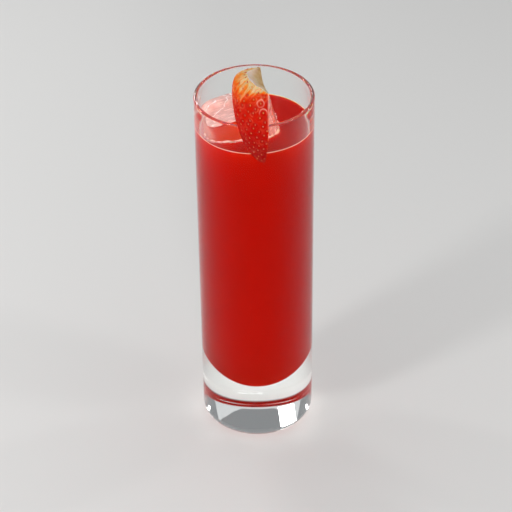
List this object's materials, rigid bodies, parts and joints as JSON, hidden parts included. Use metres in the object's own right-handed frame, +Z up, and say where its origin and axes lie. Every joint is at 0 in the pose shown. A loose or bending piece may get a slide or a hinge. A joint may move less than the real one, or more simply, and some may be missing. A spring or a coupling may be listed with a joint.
{
  "type": "strawberry collins",
  "caption": "Tall straight glass with a thick rounded base, filled with red strawberry drink, a large ice cube in it and half a strawberry slit onto the rim.",
  "frame": {"origin": "middle of the glass's flat foot, on the surface it stands on", "axes": "+Z up along the glass's axis, -Y towards the side with the strawberry, +X to the right seen from there"},
  "size_m": [0.052, 0.061, 0.1957],
  "materials": {
    "clear_glass": "clear polished soda-lime glass",
    "strawberry_drink": "wet, cloudy red drink",
    "ice": "wet, cracked ice",
    "strawberry": "moist strawberry skin and flesh"
  },
  "bodies": {
    "root": {"glass": "clear_glass", "drink": "strawberry_drink", "ice_cube": "ice", "strawberry": "strawberry"}
  },
  "joints": []
}
